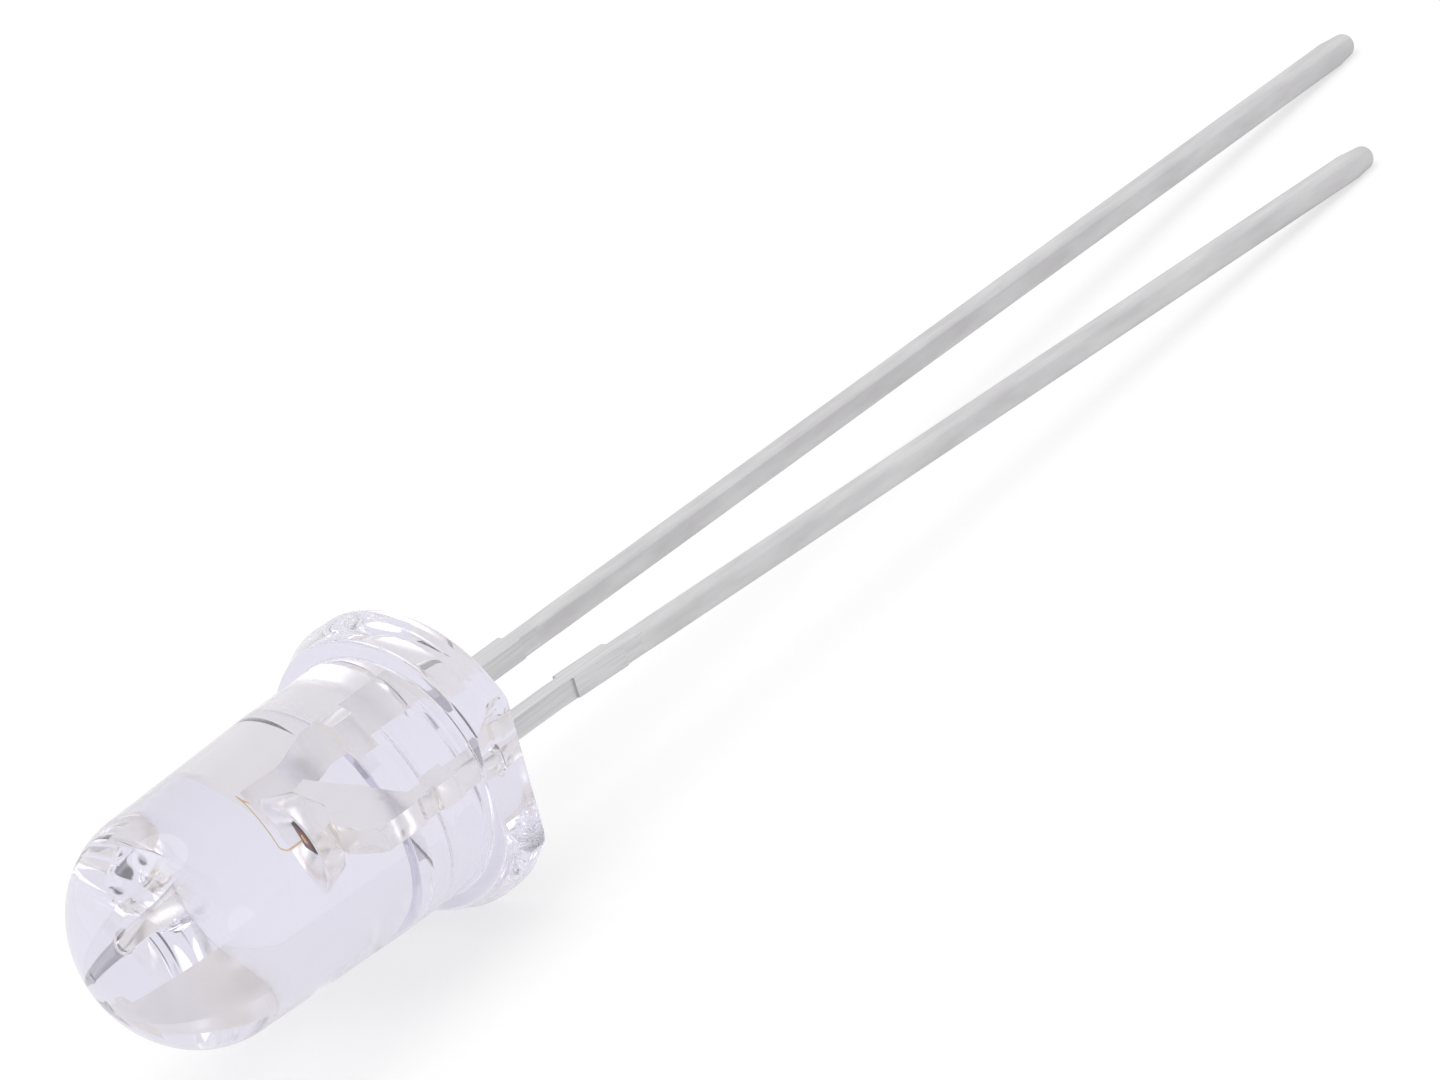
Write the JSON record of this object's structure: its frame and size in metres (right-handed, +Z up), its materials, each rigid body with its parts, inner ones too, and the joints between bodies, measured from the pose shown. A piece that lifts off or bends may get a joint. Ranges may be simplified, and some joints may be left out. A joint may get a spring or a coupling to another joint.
{
  "type": "through hole led",
  "caption": "Clear round-domed light-emitting diode with a flanged epoxy body, stamped lead frame, reflector cup and straight leads.",
  "frame": {"origin": "centre of the flange's rear face, where the diode's axis meets the board", "axes": "the diode lies at rest: +Z is up from the surface, +X runs along the leads towards the dome, which is raised by 5.40 degrees, and +Y points from the anode to the cathode"},
  "size_m": [0.0378, 0.0056, 0.0059],
  "materials": {
    "clear_epoxy": "clear cast epoxy with a faint lavender tint, smooth and glossy",
    "tinned_steel": "silver-plated steel sheet, satin, with a soft solder coat towards the tips",
    "semiconductor": "smooth red-orange semiconductor crystal",
    "silver_paste": "grey silver-filled paste, matt",
    "gold_wire": "bright drawn gold wire"
  },
  "bodies": {
    "root": {"lens": "clear_epoxy", "cathode_lead": "tinned_steel", "anode_lead": "tinned_steel", "die": "semiconductor", "die_attach": "silver_paste", "bond_wire": "gold_wire"}
  },
  "joints": []
}
